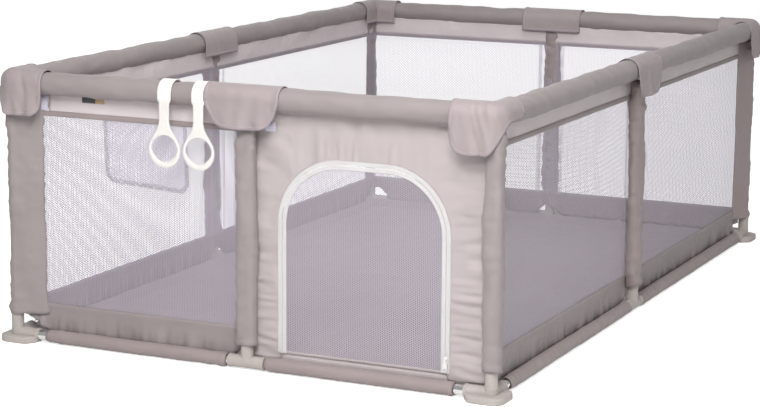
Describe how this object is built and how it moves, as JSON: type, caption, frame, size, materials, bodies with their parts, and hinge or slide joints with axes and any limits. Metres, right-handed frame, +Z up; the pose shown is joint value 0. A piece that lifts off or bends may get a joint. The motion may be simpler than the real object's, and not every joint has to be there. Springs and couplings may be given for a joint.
{
  "type": "playpen",
  "caption": "Rectangular knock-down playpen: steel tube frame in moulded corner feet, padded top rails, mesh walls, fabric floor, zipped crawl-through door and pull-up rings.",
  "frame": {"origin": "on the floor, at the middle of the rectangle that the post axes make", "axes": "+Z up; the short side with the door faces -Y; X runs along that side, +X towards the door end; Y runs along the long sides"},
  "size_m": [1.272, 2.008, 0.6436],
  "materials": {
    "steel_tube": "bright plated steel tube",
    "moulding": "warm grey moulded plastic",
    "oxford": "taupe oxford weave",
    "net": "pale lavender-grey hexagonal mesh",
    "floor_fabric": "taupe oxford floor sheet",
    "white_plastic": "white moulded grip ring",
    "white_webbing": "white webbing and zip tape",
    "white_zip_metal": "white enamelled zip slider"
  },
  "bodies": {
    "root": {"base_tee_back": "moulding", "base_tee_front": "moulding", "base_tee_left": "moulding", "base_tee_right": "moulding", "bottom_tube_back_left": "steel_tube", "bottom_tube_back_right": "steel_tube", "bottom_tube_front_left": "steel_tube", "bottom_tube_front_right": "steel_tube", "bottom_tube_left_back": "steel_tube", "bottom_tube_left_front": "steel_tube", "bottom_tube_right_back": "steel_tube", "bottom_tube_right_front": "steel_tube", "corner_cap_back_left": "oxford", "corner_cap_back_right": "oxford", "corner_cap_front_left": "oxford", "corner_cap_front_right": "oxford", "corner_foot_back_left": "moulding", "corner_foot_back_right": "moulding", "corner_foot_front_left": "moulding", "corner_foot_front_right": "moulding", "door_surround": "oxford", "floor_sheet": "floor_fabric", "mesh_pocket": "net", "post_back_left": "steel_tube", "post_back_middle": "steel_tube", "post_back_right": "steel_tube", "post_front_left": "steel_tube", "post_front_middle": "steel_tube", "post_front_right": "steel_tube", "post_left_middle": "steel_tube", "post_right_middle": "steel_tube", "rail_pad_back": "oxford", "rail_pad_front": "oxford", "rail_pad_left": "oxford", "rail_pad_right": "oxford", "top_corner_back_left": "moulding", "top_corner_back_right": "moulding", "top_corner_front_left": "moulding", "top_corner_front_right": "moulding", "top_rail_back": "steel_tube", "top_rail_front": "steel_tube", "top_rail_left": "steel_tube", "top_rail_right": "steel_tube", "wall_back_left": "net", "wall_back_right": "net", "wall_front_left": "net", "wall_left_back": "net", "wall_left_front": "net", "wall_right_back": "net", "wall_right_front": "net", "zip_teeth": "white_webbing"},
    "door_flap": {"door_flap": "net"},
    "zip_slider": {"zip_slider": "white_zip_metal"},
    "zip_puller": {"zip_puller": "white_zip_metal"},
    "ring_left": {"pull_ring_left": "white_plastic", "ring_strap_left": "white_webbing"},
    "ring_right": {"pull_ring_right": "white_plastic", "ring_strap_right": "white_webbing"}
  },
  "joints": [
    {"name": "door_flap_hinge", "type": "hinge", "parent": "root", "child": "door_flap", "pos_m": [0.2893, -0.951, 0.0435], "axis": [1, 0, 0], "range_deg": [-94, 94]},
    {"name": "zip_slider_travel", "type": "slide", "parent": "root", "child": "zip_slider", "axis": [0, 0, 1], "range_m": [0, 0.25]},
    {"name": "zip_puller_swing", "type": "hinge", "parent": "zip_slider", "child": "zip_puller", "pos_m": [0.4883, -0.96, 0.075], "axis": [-1, 0, 0], "range_deg": [0, 165]},
    {"name": "ring_left_swing", "type": "hinge", "parent": "root", "child": "ring_left", "pos_m": [-0.179, -0.968, 0.6125], "axis": [-1, 0, 0], "range_deg": [0, 75]},
    {"name": "ring_right_swing", "type": "hinge", "parent": "root", "child": "ring_right", "pos_m": [-0.092, -0.968, 0.6125], "axis": [-1, 0, 0], "range_deg": [0, 75]}
  ]
}
